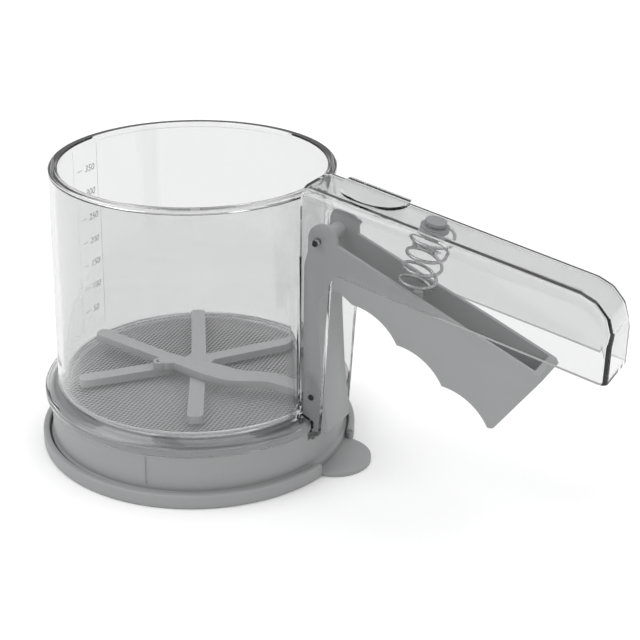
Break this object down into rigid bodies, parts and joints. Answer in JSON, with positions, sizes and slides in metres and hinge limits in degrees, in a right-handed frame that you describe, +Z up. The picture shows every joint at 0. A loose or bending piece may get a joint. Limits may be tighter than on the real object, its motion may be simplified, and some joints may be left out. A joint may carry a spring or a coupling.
{
  "type": "flour sifter",
  "caption": "Hand-squeezed flour sifter: clear cup and hollow handle, trigger lever, pull strap, star stirrer over a woven screen, and a press-on bottom lid.",
  "frame": {"origin": "the cup's axis on the underside of the bottom lid, where the sifter stands", "axes": "+Z up along the cup's axis, +X out along the handle, +Y by the right-hand rule"},
  "size_m": [0.2264, 0.1228, 0.1135],
  "materials": {
    "clear_plastic": "polished clear plastic",
    "grey_plastic": "fine matte",
    "strap_plastic": "fine matte",
    "washer_plastic": "smooth",
    "dark_pin": "drawn",
    "spring_steel": "drawn wire",
    "screw_steel": "satin",
    "screen_steel": "bright"
  },
  "bodies": {
    "housing": {"clear_body": "clear_plastic", "spring_plug": "grey_plastic", "lever_pin": "dark_pin", "return_spring": "spring_steel", "screen_eyelet": "screen_steel", "screen_mesh": "screen_steel", "screen_hoop": "screen_steel", "screen_clamp_ring": "screen_steel", "base_ring": "grey_plastic"},
    "lever": {"trigger_lever": "grey_plastic", "link_pin": "dark_pin"},
    "strap": {"pull_strap": "strap_plastic"},
    "stirrer": {"stirrer_star": "strap_plastic", "hub_screw": "screw_steel", "screw_washer": "screw_steel", "thrust_washer": "washer_plastic"},
    "lid": {"bottom_lid": "grey_plastic"}
  },
  "joints": [
    {"name": "squeeze", "type": "hinge", "parent": "housing", "child": "lever", "pos_m": [0.0578, 0, 0.0941], "axis": [0, -1, 0], "range_deg": [0, 12.2], "stiffness_Nm_per_rad": 0.6, "springref_deg": -20.05, "deforming": ["return_spring"]},
    {"name": "strap_pull", "type": "slide", "parent": "housing", "child": "strap", "axis": [1, 0, 0], "range_m": [0, 0.01315]},
    {"name": "stirrer_turn", "type": "hinge", "parent": "housing", "child": "stirrer", "pos_m": [0, 0, 0.029], "axis": [0, 0, 1], "range_deg": [0, 64.6]},
    {"name": "lid_off", "type": "slide", "parent": "housing", "child": "lid", "axis": [0, 0, 1], "range_m": [-0.03, 0]}
  ],
  "couplings": [
    {"joint": "strap_pull", "follows": "squeeze", "m_per_rad": 0.061664},
    {"joint": "stirrer_turn", "follows": "squeeze", "ratio": 5.287}
  ]
}
